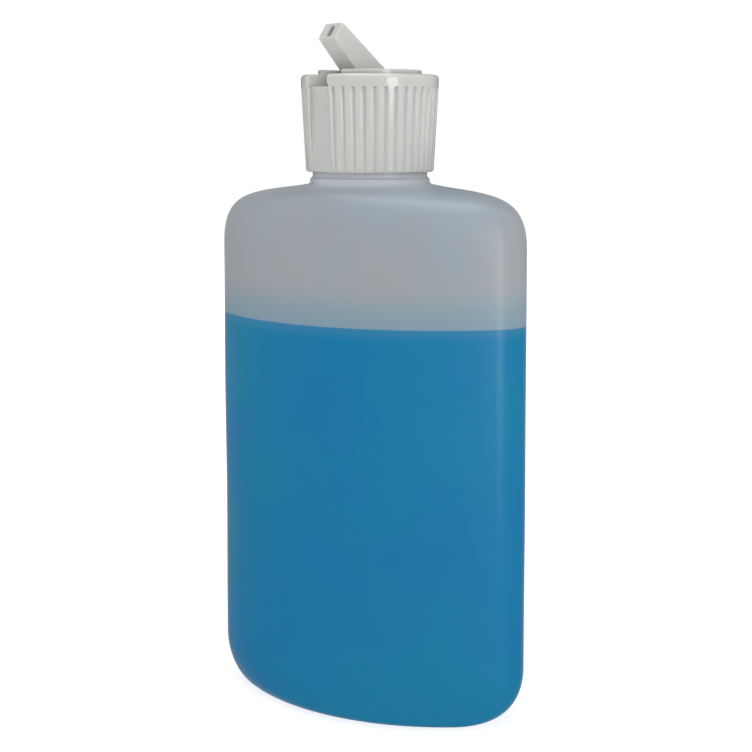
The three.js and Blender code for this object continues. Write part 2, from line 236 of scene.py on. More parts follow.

# Where colours change, in millimetres: the liquid's line with its painted glow, the neck paled by thick
# plastic and painted light, and soft patches.
GLOW_HEIGHT = 9.0
GLOW_DEPTH = 2.5
GLOW_SHARE_BELOW = 0.12
LINE_BLUR = (0.02, 0.2)
NECK_THICK_AND_PAINTED_LIGHT_SPAN = (NECK_BASE - 1.0, NECK_BASE + 0.5)
PATCH_SIZE = 26.0
SWIRL_SIZE = 14.0
CLOUD_SIZE = 4.5
FOAM_CELL = 0.22

# The part of a noise's range over which a colour or a roughness goes from one end to the other.
PATCH_RANGE = (0.35, 0.65)
NOISE_RANGE = (0.3, 0.7)
FOAM_RANGE = (0.0, 0.7)

# Roughness from its smoothest to its roughest, and bumps as size and depth in millimetres.
BOTTLE_ROUGHNESS = (0.31, 0.35)
BOTTLE_ROUGHNESS_SIZE = 1.8
BOTTLE_WAVES = (2.6, 0.006)
BOTTLE_PEEL = (0.42, 0.003)
LIQUID_WAVES = (9.0, 0.01)
WHITE_ROUGHNESS = (0.07, 0.11)
WHITE_ROUGHNESS_SIZE = 1.2
WHITE_WAVES = (3.0, 0.003)
WHITE_GRAIN_DEPTH = 0.0006
CAP_GRAIN = 0.35
SPOUT_GRAIN = 0.3
FOAM_DEPTH = 0.04

# Floor: in millimetres, but its glow's reach is in metres.
FLOOR_RADII = (5.0, 40.0, 120.0, 400.0, 1200.0, 3000.0)
FLOOR_THICKNESS = 20.0
FLOOR_SIDES = 96
FLOOR_GLOW_REACH = (0.06, 0.45)
FLOOR_GLOW = (0.8, 1.05)

# Camera and lights, in metres and degrees, with the camera's lens and sensor in millimetres.
LIGHT_AIM_HEIGHT = 0.1
CAMERA_AZIMUTH = 28.07
CAMERA_PITCH = 9.316
CAMERA_DISTANCE = 0.314039
CAMERA_ASIDE = 0.001252
CAMERA_HEIGHT = 0.122
CAMERA_LENS = 72.67
CAMERA_SENSOR = 36.0
CAMERA_NEAREST = 0.01


# ---------------------------------------------------------------- meshes


def mesh_object(name, points, faces):
    """A smooth-shaded object from points in millimetres and faces that all have as many corners."""
    mesh = bpy.data.meshes.new(name)
    corners = faces.shape[1]
    mesh.vertices.add(len(points))
    mesh.vertices.foreach_set("co", (points * MM).astype(np.float32).ravel())
    mesh.loops.add(faces.size)
    mesh.loops.foreach_set("vertex_index", faces.astype(np.int32).ravel())
    mesh.polygons.add(len(faces))
    mesh.polygons.foreach_set("loop_start", np.arange(0, faces.size, corners, dtype=np.int32))
    mesh.update(calc_edges=True)
    mesh.validate()
    mesh.polygons.foreach_set("use_smooth", np.ones(len(mesh.polygons), bool))
    made = bpy.data.objects.new(name, mesh)
    bpy.context.scene.collection.objects.link(made)
    return made


def loft(name, rings, closed=False):
    """Skins a stack of rings that all have as many points.

    Each end is closed with a fan, or the last ring meets the first.
    """
    rings = np.asarray(rings)
    count, sides = rings.shape[:2]
    points = rings.reshape(-1, 3)
    side = np.arange(sides)
    beside = (side + 1) % sides
    quads = []
    for ring in range(count if closed else count - 1):
        here = ring * sides
        above = (ring + 1) % count * sides
        quads.append(np.stack([here + side, here + beside, above + beside, above + side], 1))
    faces = np.concatenate(quads)
    if closed:
        return mesh_object(name, points, faces)
    triangles = np.concatenate([faces[:, [0, 1, 2]], faces[:, [0, 2, 3]]])
    hubs = [rings[0].mean(0), rings[-1].mean(0)]
    first_hub = len(points)
    last = (count - 1) * sides
    start_fan = np.stack([beside, side, np.full(sides, first_hub)], 1)
    end_fan = np.stack([last + side, last + beside, np.full(sides, first_hub + 1)], 1)
    return mesh_object(name, np.vstack([points, hubs]), np.concatenate([triangles, start_fan, end_fan]))


def rounded(corners, steps=6):
    """A [radius, height] profile whose corners, given as (radius, height, rounding), are turned into arcs."""
    out = []
    for index, (x, y, rounding) in enumerate(corners):
        here = np.array([x, y])
        if rounding == 0:
            out.append(here)
            continue
        before = np.array(corners[index - 1][:2]) - here
        after = np.array(corners[(index + 1) % len(corners)][:2]) - here
        before = before / np.linalg.norm(before)
        after = after / np.linalg.norm(after)
        half = math.acos(np.clip(before @ after, -1, 1)) / 2
        reach = rounding / math.tan(half)
        centre = here + (before + after) / np.linalg.norm(before + after) * rounding / math.sin(half)
        start = here + before * reach - centre
        end = here + after * reach - centre
        sweep = math.atan2(start[0] * end[1] - start[1] * end[0], start @ end)
        for step in range(steps + 1):
            turn = sweep * step / steps
            c, s = math.cos(turn), math.sin(turn)
            out.append(centre + [c * start[0] - s * start[1], s * start[0] + c * start[1]])
    return np.array(out)


# ---------------------------------------------------------------- distance fields


def round_max(a, b, radius):
    """The overlap of two solids, given by their distances, with the edge between them rounded."""
    return np.minimum(np.maximum(a, b), -radius) + np.hypot(
        np.maximum(a + radius, 0), np.maximum(b + radius, 0)
    )


def round_min(a, b, radius):
    """The union of two solids with a fillet between them."""
    return -round_max(-a, -b, radius)


def gradient(distance, points, step=0.004):
    """The direction in which a distance grows fastest, with its rate."""
    slopes = []
    for axis in range(3):
        offset = np.zeros(3)
        offset[axis] = step
        ahead = distance(*(points + offset).T)
        behind = distance(*(points - offset).T)
        slopes.append((ahead - behind) / (2 * step))
    return np.stack(slopes, 1)


def settle(distance, points, rounds=5, longest=0.06, slowest=1e-3):
    """Moves points straight onto the surface where the distance is zero, by short moves."""
    for _ in range(rounds):
        slope = gradient(distance, points)
        rate = np.maximum((slope**2).sum(1), slowest)
        move = -distance(*points.T) / rate
        shift = slope * move[:, None]
        length = np.linalg.norm(shift, axis=1, keepdims=True)
        points = points + shift * np.minimum(1, longest / np.maximum(length, TINY))
    return points


def surface_net(distance, axes):
    """Skins the surface where the distance is zero: one point in each grid cell that it crosses, in quads."""
    grid = np.meshgrid(*axes, indexing="ij")
    values = distance(*grid)
    inside = values < 0
    cells_shape = tuple(n - 1 for n in inside.shape)
    corners = [(i, j, k) for i in (0, 1) for j in (0, 1) for k in (0, 1)]
    filled = np.zeros(cells_shape, np.int8)
    for corner in corners:
        filled += inside[tuple(slice(c, c + n) for c, n in zip(corner, cells_shape))]
    crossed = (filled > 0) & (filled < 8)
    cells = np.argwhere(crossed)
    number = np.full(cells_shape, -1, np.int64)
    number[crossed] = np.arange(len(cells))

    total = np.zeros((len(cells), 3))
    hits = np.zeros(len(cells))
    for start in corners:
        for axis in range(3):
            if start[axis]:
                continue
            low = cells + start
            high = low.copy()
            high[:, axis] += 1
            at_low = values[tuple(low.T)]
            at_high = values[tuple(high.T)]
            crossing = (at_low < 0) != (at_high < 0)
            share = np.where(crossing, at_low / np.where(crossing, at_low - at_high, 1), 0)
            point = np.stack([axes[n][low[:, n]] for n in range(3)], 1)
            point[:, axis] += share * (axes[axis][high[:, axis]] - axes[axis][low[:, axis]])
            total += point * crossing[:, None]
            hits += crossing
    points = total / hits[:, None]

    quads = []
    for axis in range(3):
        u, v = (axis + 1) % 3, (axis + 2) % 3
        low_side = inside.take(range(inside.shape[axis] - 1), axis)
        high_side = inside.take(range(1, inside.shape[axis]), axis)
        edges = np.argwhere(low_side != high_side)
        leaving = low_side[tuple(edges.T)]
        around = []
        for du, dv in ((-1, -1), (0, -1), (0, 0), (-1, 0)):
            cell = edges.copy()
            cell[:, u] += du
            cell[:, v] += dv
            around.append(number[tuple(cell.T)])
        quad = np.stack(around, 1)
        quads.append(np.where(leaving[:, None], quad, quad[:, ::-1]))
    return points, np.concatenate(quads)


def fine_piece(name, distance, axes, turn, shift):
    """The surface where the distance is zero, turned and shifted into place.

    Faces that lie in one flat are joined, and every point takes the field's own direction as its normal.
    """
    points, quads = surface_net(distance, axes)
    made = mesh_object(name, settle(distance, points), quads)
    flats = made.modifiers.new("flats", "DECIMATE")
    flats.decimate_type = "DISSOLVE"
    flats.angle_limit = FLAT_ANGLE
    made.modifiers.new("triangles", "TRIANGULATE")
    mesh = bpy.data.meshes.new_from_object(made.evaluated_get(bpy.context.evaluated_depsgraph_get()))
    made.modifiers.clear()
    rough_mesh = made.data
    made.data = mesh
    bpy.data.meshes.remove(rough_mesh)
    mesh.name = name
    flat_points = np.zeros(len(mesh.vertices) * 3, np.float32)
    mesh.vertices.foreach_get("co", flat_points)
    points = flat_points.reshape(-1, 3).astype(float) / MM
    normals = gradient(distance, points)
    normals /= np.maximum(np.linalg.norm(normals, axis=1, keepdims=True), TINY)
    placed = (points @ turn.T + shift) * MM
    mesh.vertices.foreach_set("co", placed.astype(np.float32).ravel())
    mesh.normals_split_custom_set_from_vertices((normals @ turn.T).tolist())
    return made


def turn_about(axis, angle):
    return np.array(Matrix.Rotation(angle, 3, axis))


# ---------------------------------------------------------------- bottle


def oval_ring(width, depth, end, height):
    """A ring of points on the oval, at equal steps of the angle that its outward normal makes with +X."""
    angle = np.arange(OVAL_SIDES) * 2 * math.pi / OVAL_SIDES
    end_centre = width - end
    broad_radius = (end_centre**2 + depth**2 - end**2) / (2 * (depth - end))
    change = math.atan2(broad_radius - depth, end_centre)
    across = np.abs(np.cos(angle))
    up = np.abs(np.sin(angle))
    on_end = np.arctan2(up, across) < change
    x = np.where(on_end, end_centre + end * across, broad_radius * across)
    y = np.where(on_end, end * up, depth - broad_radius + broad_radius * up)
    z = np.broadcast_to(height, angle.shape)
    return np.stack([np.sign(np.cos(angle)) * x, np.sign(np.sin(angle)) * y, z], 1)


def round_ring(radius, height):
    angle = np.arange(OVAL_SIDES) * 2 * math.pi / OVAL_SIDES
    z = np.broadcast_to(height, angle.shape)
    return np.stack([radius * np.cos(angle), radius * np.sin(angle), z], 1)


def heel_inset(inset, edge_height, level):
    """How far a rounded edge still stands in from the wall at this level."""
    if level >= edge_height:
        return 0.0
    return inset * (1 - math.sqrt(1 - (1 - level / edge_height) ** 2))


def body_size(level, offset):
    """Half width, half depth and end radius at a level above the body's floor, less an offset all round."""
    scale = 1 - DRAFT_PER_MM * (level - BODY_REFERENCE_HEIGHT)
    return (
        HALF_WIDTH * scale - heel_inset(HEEL_END_INSET, HEEL_END_HEIGHT, level) - offset,
        HALF_DEPTH * scale - heel_inset(HEEL_FACE_INSET, HEEL_FACE_HEIGHT, level) - offset,
        END_RADIUS - offset,
    )


def heel_rings(floor, offset, steps):
    rings = []
    for step in range(steps + 1):
        level = HEEL_END_HEIGHT * (1 - math.cos(math.pi / 2 * step / steps))
        rings.append(oval_ring(*body_size(level, offset), floor + level))
    return rings


def base_rings():
    """From the middle of the pushed-up base, down its slope to the rest ring."""
    width, depth, end = body_size(0, REST_RING_WIDTH + PUSH_UP_SLOPE_WIDTH)
    shares = (SMALLEST_RING_SHARE, 0.25, 0.5, 0.75, 0.95)
    rings = [oval_ring(width * share, depth * share, end * share, PUSH_UP) for share in shares]
    for step in range(SLOPE_STEPS + 1):
        share = step / SLOPE_STEPS
        inset = REST_RING_WIDTH + PUSH_UP_SLOPE_WIDTH * (1 - share)
        height = PUSH_UP * (1 + math.cos(math.pi * share)) / 2
        rings.append(oval_ring(*body_size(0, inset), height))
    rings.append(oval_ring(*body_size(0, REST_RING_WIDTH / 2), 0.0))
    return rings


def wall_rings(floor, offset, top, steps):
    """The straight wall above the heel, its last ring at top."""
    start = floor + HEEL_END_HEIGHT
    heights = start + (top - start) * np.arange(1, steps + 1) / steps
    return [oval_ring(*body_size(height - floor, offset), height) for height in heights]


def shoulder_rings(floor, offset, foot_radius, fillet, steps):
    """The shoulder's cubic curve, in finer steps towards the neck, with a fillet round the neck's foot."""
    width, depth, end = body_size(SHOULDER_START - floor, offset)
    control = np.array(
        [
            [width, depth, SHOULDER_START],
            [width, depth, SHOULDER_BULGE_HEIGHT - offset],
            [SHOULDER_SLOPE_WIDTH - offset, SHOULDER_SLOPE_DEPTH - offset, SHOULDER_SLOPE_HEIGHT - offset],
            [foot_radius, foot_radius, NECK_BASE - offset],
        ]
    )
    rings = []
    for step in range(1, steps + 1):
        t = 1 - (1 - step / steps) ** 2
        weights = np.array([(1 - t) ** 3, 3 * t * (1 - t) ** 2, 3 * t**2 * (1 - t), t**3])
        half_width, half_depth, height = weights @ control
        ring = oval_ring(half_width, half_depth, end, height)
        off_foot = np.maximum(fillet - (np.hypot(ring[:, 0], ring[:, 1]) - foot_radius), 0)
        ring[:, 2] += fillet - np.sqrt(np.maximum(fillet**2 - off_foot**2, 0))
        rings.append(ring)
    return rings


def thread_height(angle, height, start, turns):
    """From 0 to 1, how far a right-handed thread stands out of its wall. It starts on the +X axis."""
    turn = (angle / (2 * math.pi)) % 1
    stands = np.zeros(np.broadcast(angle, height).shape)
    for lap in range(math.ceil(turns)):
        along = turn + lap
        off_centre = np.abs(height - start - PITCH * along)
        flank = (THREAD_FOOT / 2 - off_centre) / (THREAD_FOOT / 2 - THREAD_CREST / 2)
        fade = np.clip(np.minimum(along, turns - along) / THREAD_FADE_TURNS, 0, 1)
        here = np.clip(flank, 0, 1) * fade
        stands = np.maximum(stands, here)
    return stands * stands * (3 - 2 * stands)


def neck_rings():
    """From the foot of the bead over the collar and the thread, round the rim and down the bore."""
    thread_bottom = THREAD_START - THREAD_FOOT
    outline = rounded(
        [
            (BEAD_RADIUS, NECK_BASE + BEAD_FOOT_FILLET, 0),
            (BEAD_RADIUS, BEAD_TOP, BEAD_ROUNDING),
            (COLLAR_RADIUS, COLLAR_FOOT, COLLAR_ROUNDING),
            (COLLAR_RADIUS, COLLAR_TOP, COLLAR_ROUNDING),
            (NECK_RADIUS, NECK_FOOT, NECK_FILLET),
            (NECK_RADIUS, thread_bottom, 0),
        ]
    )
    rings = [round_ring(radius, height) for radius, height in outline[1:]]
    angle = np.arange(OVAL_SIDES) * 2 * math.pi / OVAL_SIDES
    for height in np.arange(thread_bottom + THREAD_STEP, RIM_START, THREAD_STEP):
        stands = thread_height(angle, height, THREAD_START, BOTTLE_THREAD_TURNS)
        rings.append(round_ring(NECK_RADIUS + THREAD_DEPTH * stands, height))
    rim = rounded(
        [
            (NECK_RADIUS, RIM_START, 0),
            (NECK_RADIUS, NECK_TOP, RIM_ROUNDING),
            (BORE_RADIUS, NECK_TOP, RIM_ROUNDING),
            (BORE_RADIUS, NECK_BASE, 0),
        ]
    )
    return rings + [round_ring(radius, height) for radius, height in rim[:-1]]


def worked_wall(rings):
    """Adds what moulding leaves on the outer wall: shallow waves, and a line along each narrow end."""
    out = []
    angle = np.arange(OVAL_SIDES) * 2 * math.pi / OVAL_SIDES
    normal = np.stack([np.cos(angle), np.sin(angle), np.zeros(OVAL_SIDES)], 1)
    seam = np.zeros(OVAL_SIDES)
    seam[[0, OVAL_SIDES // 2]] = SEAM_HEIGHT
    for ring in rings:
        height = ring[0, 2]
        share = np.clip((height - HEEL_END_HEIGHT) / (SHOULDER_START - HEEL_END_HEIGHT), 0, 1)
        fade = math.sin(math.pi * share) ** 2
        line = seam * min(1.0, height / HEEL_FACE_HEIGHT)
        wave = sum(np.sin(ring[:, 0] / across + height / up) for across, up in FACE_WAVE_LENGTHS)
        out.append(ring + normal * (line + fade * FACE_WAVE * wave)[:, None])
    return out


def make_bottle():
    """The bottle as one shell, up its outside from the middle of its base and down its inside."""
    outside = (
        base_rings()
        + heel_rings(floor=0.0, offset=0.0, steps=28)
        + wall_rings(floor=0.0, offset=0.0, top=SHOULDER_START, steps=40)
        + shoulder_rings(floor=0.0, offset=0.0, foot_radius=BEAD_RADIUS, fillet=BEAD_FOOT_FILLET, steps=48)
    )
    cavity = (
        heel_rings(FLOOR, WALL, steps=14)
        + wall_rings(FLOOR, WALL, top=SHOULDER_START, steps=6)
        + shoulder_rings(FLOOR, WALL, foot_radius=BORE_RADIUS, fillet=0.0, steps=20)
    )
    return loft("bottle_shell", worked_wall(outside) + neck_rings() + cavity[::-1])


def make_liquid():
    """The liquid against the inner wall, with a raised edge round its level top."""
    offset = WALL + LIQUID_GAP
    floor = FLOOR + LIQUID_GAP
    rings = heel_rings(floor, offset, steps=16)
    rings += wall_rings(floor, offset, top=LIQUID_TOP + MENISCUS_HEIGHT, steps=8)
    width, depth, end = body_size(LIQUID_TOP - floor, offset)
    for share in np.linspace(1 / MENISCUS_STEPS, 1.0, MENISCUS_STEPS):
        inset = MENISCUS_WIDTH * share
        height = LIQUID_TOP + MENISCUS_HEIGHT * (1 - share) ** 3
        rings.append(oval_ring(width - inset, depth - inset, end - inset, height))
    width, depth, end = width - MENISCUS_WIDTH, depth - MENISCUS_WIDTH, end - MENISCUS_WIDTH
    for share in (0.75, 0.5, 0.25, SMALLEST_RING_SHARE):
        rings.append(oval_ring(width * share, depth * share, end * share, LIQUID_TOP))
    return loft("blue_liquid", rings)


# ---------------------------------------------------------------- closure


def slot_distance(x, along, z):
    """The slot that the spout folds into, and the sockets for the spout's trunnions."""
    socket = np.hypot(along, z - PIVOT_HEIGHT) - SOCKET_RADIUS
    floor_at_axis = PIVOT_HEIGHT - SOCKET_RADIUS
    floor = floor_at_axis + (SLOT_FLOOR_AT_MOUTH - floor_at_axis) / BAND_RADIUS * along
    channel = np.maximum(floor - z, -along)
    above = np.maximum(np.abs(along) - SOCKET_RADIUS, PIVOT_HEIGHT - z)
    side_view = np.minimum(np.minimum(socket, channel), above)
    slot = np.maximum(np.abs(x) - SLOT_HALF_WIDTH, side_view)
    hole = np.hypot(along, z - PIVOT_HEIGHT) - (TRUNNION_RADIUS + TRUNNION_GAP)
    return np.minimum(slot, np.maximum(hole, np.abs(x) - (TRUNNION_END + TRUNNION_GAP)))


def groove_distance(x, along, z):
    """The grooves between the ribs, at equal angles from the slot, open at the skirt's lower edge."""
    pitch = 2 * math.pi / GROOVE_PLACES
    angle = np.arctan2(x, along)
    radius = np.hypot(x, along)
    place = np.round(angle / pitch)
    off_place = angle - place * pitch
    across = radius * np.sin(off_place)
    outwards = radius * np.cos(off_place)
    top_floor = SKIRT_TOP_RADIUS - GROOVE_TOP_DEPTH
    bottom_floor = SKIRT_BOTTOM_RADIUS - GROOVE_BOTTOM_DEPTH
    share = (z - CAP_BOTTOM) / (BAND_BOTTOM - CAP_BOTTOM)
    floor = bottom_floor + (top_floor - bottom_floor) * share
    half_width = GROOVE_FLOOR_HALF_WIDTH + GROOVE_HALF_FLARE * (outwards - floor)
    groove = round_max(np.abs(across) - half_width, floor - outwards, GROOVE_FLOOR_ROUNDING)
    groove = np.maximum(groove, z - BAND_BOTTOM)
    return np.where(np.abs(place) <= GROOVES_LEFT_OUT_BESIDE_SLOT, BAND_RADIUS, groove)


def cap_blank_distance(radius, z):
    """The cap as turned: skirt, band and land outside, hollow inside with a boss under the deck."""
    slope = (SKIRT_TOP_RADIUS - SKIRT_BOTTOM_RADIUS) / (BAND_BOTTOM - CAP_BOTTOM)
    outer = np.minimum(BAND_RADIUS, SKIRT_BOTTOM_RADIUS + slope * (z - CAP_BOTTOM))
    body = round_max(radius - outer, z - BAND_TOP, BAND_ROUNDING)
    body = round_max(body, CAP_BOTTOM - z, SKIRT_EDGE)
    land = round_max(radius - LAND_RADIUS, z - CAP_TOP, LAND_ROUNDING)
    return round_min(body, np.maximum(land, BAND_BOTTOM - z), LAND_FILLET)


def cap_hollow_distance(radius, z):
    """The inside of the cap, a little wider at its mouth, with a boss standing down from the deck."""
    lead_in = np.clip(CAP_BOTTOM + 2 * SKIRT_LEAD_IN - z, 0, 1) / 2
    hollow = round_max(radius - SKIRT_INNER_RADIUS - lead_in, z - DECK_UNDERSIDE, DECK_CORNER_ROUNDING)
    boss = round_max(radius - BOSS_RADIUS, BOSS_BOTTOM - z, BOSS_ROUNDING)
    return round_max(hollow, -boss, BOSS_FILLET)


def cap_thread_distance(x, y, z):
    """The cap's inner ridge, half a pitch below the bottle's, starting on the frame's +X axis."""
    frame_angle = np.arctan2(y, x) + SLOT_TURN
    start = THREAD_START - PITCH / 2
    stands = thread_height(frame_angle, z, start, CAP_THREAD_TURNS)
    crest = SKIRT_INNER_RADIUS + THREAD_ROOT - THREAD_DEPTH * stands
    radius = np.hypot(x, y)
    ridge = np.maximum(crest - radius, radius - SKIRT_INNER_RADIUS - 2 * THREAD_ROOT)
    middle = start + PITCH * CAP_THREAD_TURNS / 2
    reach = PITCH * CAP_THREAD_TURNS / 2 + THREAD_FOOT / 2
    return np.maximum(ridge, np.abs(z - middle) - reach)


def cap_distance(x, y, z):
    """The cap with its slot facing -Y."""
    along = -y
    radius = np.hypot(x, y)
    solid = cap_blank_distance(radius, z)
    off_band = np.clip((BAND_BOTTOM - RIB_ROUNDING_STARTS_BELOW_BAND - z) / RIB_ROUNDING_FADE, 0, 1)
    rib_edge = CRISP_ROUNDING + (RIB_ROUNDING - CRISP_ROUNDING) * off_band
    solid = round_max(solid, -groove_distance(x, along, z), rib_edge)
    flat = np.maximum(np.abs(x) - FINGER_FLAT_HALF_WIDTH, FINGER_FLAT_DISTANCE - along)
    flat = np.maximum(flat, z - SLOT_FLOOR_AT_MOUTH)
    solid = round_max(solid, -flat, FINGER_FLAT_ROUNDING)
    solid = round_max(solid, -slot_distance(x, along, z), SLOT_ROUNDING)
    solid = round_max(solid, -cap_hollow_distance(radius, z), CRISP_ROUNDING)
    solid = np.minimum(solid, cap_thread_distance(x, y, z))
    return round_max(solid, OUTLET_RADIUS - radius, CRISP_ROUNDING)


def make_cap():
    """The cap, with a coarser grid along the plain middle of its skirt than at its edge and its top."""
    reach = BAND_RADIUS + 2 * CAP_STEP
    across = np.arange(-reach, reach, CAP_STEP)
    lower = np.arange(CAP_BOTTOM - 2 * CAP_STEP, CAP_BOTTOM + CAP_EDGE_REACH, CAP_STEP)
    middle = np.arange(lower[-1] + SKIRT_STEP, BOSS_BOTTOM - SKIRT_STEP, SKIRT_STEP)
    upper = np.arange(middle[-1] + CAP_STEP, CAP_TOP + 3 * CAP_STEP, CAP_STEP)
    axes = [across, across, np.concatenate([lower, middle, upper])]
    return fine_piece("screw_cap", cap_distance, axes, turn_about("Z", SLOT_TURN), np.zeros(3))


def spout_distance(x, y, z):
    """The spout lying along -Y, with its pivot at the origin."""
    along = -y
    radius = np.hypot(along, z)
    tip_line = TIP_UPPER - TIP_LOWER
    tip_normal = np.array([tip_line[1], -tip_line[0]]) / np.linalg.norm(tip_line)
    tip = (along - TIP_LOWER[0]) * tip_normal[0] + (z - TIP_LOWER[1]) * tip_normal[1]
    arm = -along
    for corner, side in ((TIP_LOWER, -1), (TIP_UPPER, 1)):
        touch = math.atan2(corner[1], corner[0]) + side * math.acos(BARREL_RADIUS / np.linalg.norm(corner))
        face = along * math.cos(touch) + z * math.sin(touch) - BARREL_RADIUS
        behind_touch = BARREL_RADIUS * math.cos(touch) - along
        arm = np.maximum(arm, round_max(face, tip, SPOUT_ROUNDING))
        arm = np.maximum(arm, behind_touch)
    outline = np.minimum(radius - BARREL_RADIUS, arm)
    solid = round_max(outline, np.abs(x) - SPOUT_HALF_WIDTH, SPOUT_ROUNDING)
    trunnion = round_max(radius - TRUNNION_RADIUS, np.abs(x) - TRUNNION_END, TRUNNION_ROUNDING)
    solid = np.minimum(solid, trunnion)
    channel = round_max(np.abs(x) - CHANNEL_HALF_WIDTH, np.abs(z) - CHANNEL_HALF_HEIGHT, CHANNEL_ROUNDING)
    return round_max(solid, -channel, CHANNEL_EDGE)


def make_spout():
    margin = 2 * SPOUT_STEP
    half = TRUNNION_END + margin
    axes = [
        np.arange(-half, half, SPOUT_STEP),
        np.arange(-TIP_UPPER[0] - margin, BARREL_RADIUS + margin, SPOUT_STEP),
        np.arange(-BARREL_RADIUS - margin, BARREL_RADIUS + margin, SPOUT_STEP),
    ]
    turn = turn_about("Z", SLOT_TURN) @ turn_about("X", -SPOUT_RISE)
    return fine_piece("flip_spout", spout_distance, axes, turn, np.array([0, 0, PIVOT_HEIGHT]))


def make_liner():
    """A soft ring with pressed edges, each rounded by a third of the ring's thickness."""
    outer = liner_high[0]
    inner = LINER_INNER_RADIUS
    low, high = liner_low[2], liner_high[2]
    edge = (high - low) / 3
    outline = rounded([(inner, low, edge), (outer, low, edge), (outer, high, edge), (inner, high, edge)])
    return loft("liner_ring", [round_ring(radius, height) for radius, height in outline], closed=True)


# ---------------------------------------------------------------- materials


class Finish:
    """A material with one Principled shader, and short ways to add the nodes that feed it."""

    def __init__(self, name, **sockets):
        self.material = bpy.data.materials.new(name)
        self.material.use_nodes = True
        self.nodes = self.material.node_tree.nodes
        self.links = self.material.node_tree.links
        self.shader = self.nodes["Principled BSDF"]
        self.place = self.nodes.new("ShaderNodeTexCoord").outputs["Object"]
        for socket, value in sockets.items():
            self.shader.inputs[socket.replace("_", " ")].default_value = value

    def feed(self, socket, source):
        self.links.new(source, self.shader.inputs[socket])

    def noise(self, size, detail=2.0):
        """Smooth noise whose features are about size millimetres across."""
        texture = self.nodes.new("ShaderNodeTexNoise")
        self.links.new(self.place, texture.inputs["Vector"])
        texture.inputs["Scale"].default_value = 1 / (size * MM)
        texture.inputs["Detail"].default_value = detail
        return texture.outputs["Fac"]

    def height(self):
        """The height of each point of the piece, in metres."""
        split = self.nodes.new("ShaderNodeSeparateXYZ")
        self.links.new(self.place, split.inputs[0])
        return split.outputs["Z"]

    def ramp(self, source, start, end, low=0.0, high=1.0):
        """Rises smoothly from low to high as the source goes from start to end."""
        node = self.nodes.new("ShaderNodeMapRange")
        node.interpolation_type = "SMOOTHSTEP"
        self.links.new(source, node.inputs["Value"])
        for socket, value in (("From Min", start), ("From Max", end), ("To Min", low), ("To Max", high)):
            node.inputs[socket].default_value = value
        return node.outputs["Result"]

    def mix(self, share, first, second):
        """Blends two colours, each a tuple or another node's output."""
        node = self.nodes.new("ShaderNodeMix")
        node.data_type = "RGBA"
        self.links.new(share, node.inputs["Factor"])
        for socket, colour in ((node.inputs[6], first), (node.inputs[7], second)):
            if isinstance(colour, tuple):
                socket.default_value = (*colour, 1)
            else:
                self.links.new(colour, socket)
        return node.outputs[2]

    def vary_roughness(self, size, between):
        """Lets the roughness drift between two values, over patches of this size in millimetres."""
        self.feed("Roughness", self.ramp(self.noise(size), *NOISE_RANGE, *between))

    def waves(self, size, depth):
        """A plain noise of this size, and how deep it is as a bump, both in millimetres."""
        return self.noise(size, detail=1.0), depth

    def bump(self, *layers):
        """Stacks bumps, each a height source and its depth in millimetres."""
        normal = None
        for source, depth in layers:
            node = self.nodes.new("ShaderNodeBump")
            node.inputs["Distance"].default_value = depth * MM
            self.links.new(source, node.inputs["Height"])
            if normal is not None:
                self.links.new(normal, node.inputs["Normal"])
            normal = node.outputs["Normal"]
        self.feed("Normal", normal)


def natural_plastic():
    """Milky unpigmented plastic, cool grey where it is dry and deep blue where the liquid wets its inside."""
    finish = Finish(
        "natural_plastic",
        IOR=1.5,
        Specular_IOR_Level=0.25,
        Transmission_Weight=0.12,
        Sheen_Weight=0.5,
        Sheen_Roughness=0.25,
    )
    line = LIQUID_TOP * MM
    height = finish.height()
    patches = finish.ramp(finish.noise(PATCH_SIZE), *PATCH_RANGE)
    dry = finish.mix(patches, DRY_COOL, DRY_WARM)
    # Painted glow: bluish light is painted up the dry wall above the liquid's line.
    near_line = finish.ramp(height, line, line + GLOW_HEIGHT * MM, 1.0, 0.0)
    dry = finish.mix(near_line, dry, DRY_GLOW)
    # The neck turns paler, partly for its thicker plastic and partly as painted light against the cap's
    # shade.
    neck = finish.ramp(height, NECK_THICK_AND_PAINTED_LIGHT_SPAN[0] * MM, NECK_THICK_AND_PAINTED_LIGHT_SPAN[1] * MM)
    dry = finish.mix(neck, dry, DRY_THICK_AND_PAINTED_LIGHT)
    wet = finish.mix(patches, WET_BLUE, WET_TEAL)
    # A little of the painted glow runs just below the line.
    under_line = finish.ramp(height, line - GLOW_DEPTH * MM, line, 0.0, GLOW_SHARE_BELOW)
    wet = finish.mix(under_line, wet, DRY_GLOW)
    above = finish.ramp(height, line + LINE_BLUR[0] * MM, line + LINE_BLUR[1] * MM)
    finish.feed("Base Color", finish.mix(above, wet, dry))
    finish.vary_roughness(BOTTLE_ROUGHNESS_SIZE, BOTTLE_ROUGHNESS)
    finish.bump(finish.waves(*BOTTLE_WAVES), finish.waves(*BOTTLE_PEEL))
    return finish.material


def blue_liquid():
    """Blue water, with slight swirls in its colour and a barely uneven surface."""
    finish = Finish("blue_liquid", Roughness=0.06, IOR=1.34, Transmission_Weight=0.2)
    swirl = finish.ramp(finish.noise(SWIRL_SIZE), *NOISE_RANGE)
    finish.feed("Base Color", finish.mix(swirl, WET_BLUE, WET_TEAL))
    finish.bump(finish.waves(*LIQUID_WAVES))
    return finish.material


def white_plastic(name, grain):
    """Glossy moulded white plastic that lets a little warm light through."""
    finish = Finish(name, IOR=1.49, Subsurface_Weight=0.45, Subsurface_Scale=0.0016)
    finish.shader.inputs["Subsurface Radius"].default_value = (1.0, 0.9, 0.75)
    cloud = finish.ramp(finish.noise(CLOUD_SIZE), *NOISE_RANGE)
    finish.feed("Base Color", finish.mix(cloud, WHITE_COOL, WHITE_WARM))
    finish.vary_roughness(WHITE_ROUGHNESS_SIZE, WHITE_ROUGHNESS)
    finish.bump(finish.waves(*WHITE_WAVES), finish.waves(grain, WHITE_GRAIN_DEPTH))
    return finish.material


